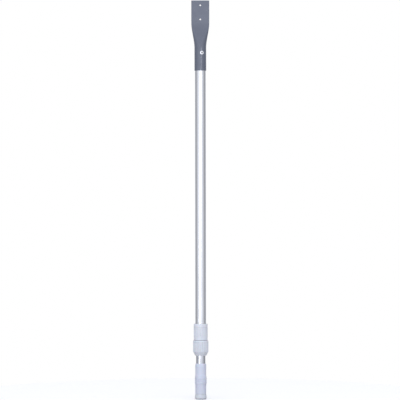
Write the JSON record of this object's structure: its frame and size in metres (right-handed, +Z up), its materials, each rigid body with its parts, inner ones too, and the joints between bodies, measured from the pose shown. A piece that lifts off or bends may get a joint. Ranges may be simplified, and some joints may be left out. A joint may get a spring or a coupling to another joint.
{
  "type": "telescopic extension pole",
  "caption": "Telescopic twist-lock aluminium pole with a ringed white grip, ribbed collars and a flattened steel bracket head with tool bolt holes.",
  "frame": {"origin": "centre of the butt end of the grip's end cap", "axes": "+Z up the pole to the bracket head; -Y is the bracket's front face; +X to the right seen from the front"},
  "size_m": [0.0534, 0.0458, 1.185],
  "materials": {
    "white_plastic": "moulded, satin",
    "bright_aluminium": "drawn, bright",
    "satin_aluminium": "satin anodised",
    "dark_nylon": "moulded",
    "natural_nylon": "moulded",
    "rubber": "matt",
    "steel": "drawn",
    "grey_coated_steel": "powder coated, satin",
    "rivet_aluminium": "polished"
  },
  "bodies": {
    "handle_section": {"inner_tube": "bright_aluminium", "grip": "white_plastic", "end_cap": "white_plastic", "guide_plug": "dark_nylon", "guide_pin": "steel", "guide_o_ring": "rubber"},
    "collet": {"split_collet": "natural_nylon"},
    "outer_section": {"outer_tube": "satin_aluminium", "collar_body": "white_plastic", "joint_seal": "rubber", "bump_stop": "dark_nylon", "head_adapter": "grey_coated_steel", "head_rivets": "rivet_aluminium", "rivet_mandrels": "steel"},
    "thrust_wedge": {"thrust_ring": "natural_nylon"},
    "nut": {"lock_nut": "white_plastic", "wiper_seal": "rubber"}
  },
  "joints": [
    {"name": "pole_extend", "type": "slide", "parent": "handle_section", "child": "collet", "axis": [0, 0, 1], "range_m": [0, 0.78]},
    {"name": "section_turn", "type": "hinge", "parent": "collet", "child": "outer_section", "pos_m": [0, 0, 0.147], "axis": [0, 0, 1], "continuous": true},
    {"name": "nut_advance", "type": "slide", "parent": "outer_section", "child": "thrust_wedge", "axis": [0, 0, -1], "range_m": [0, 0.003]},
    {"name": "nut_twist", "type": "hinge", "parent": "thrust_wedge", "child": "nut", "pos_m": [0, 0, 0.152], "axis": [0, 0, -1], "range_deg": [0, 360]}
  ],
  "couplings": [
    {"joint": "nut_advance", "follows": "nut_twist", "m_per_rad": 0.00047746}
  ]
}
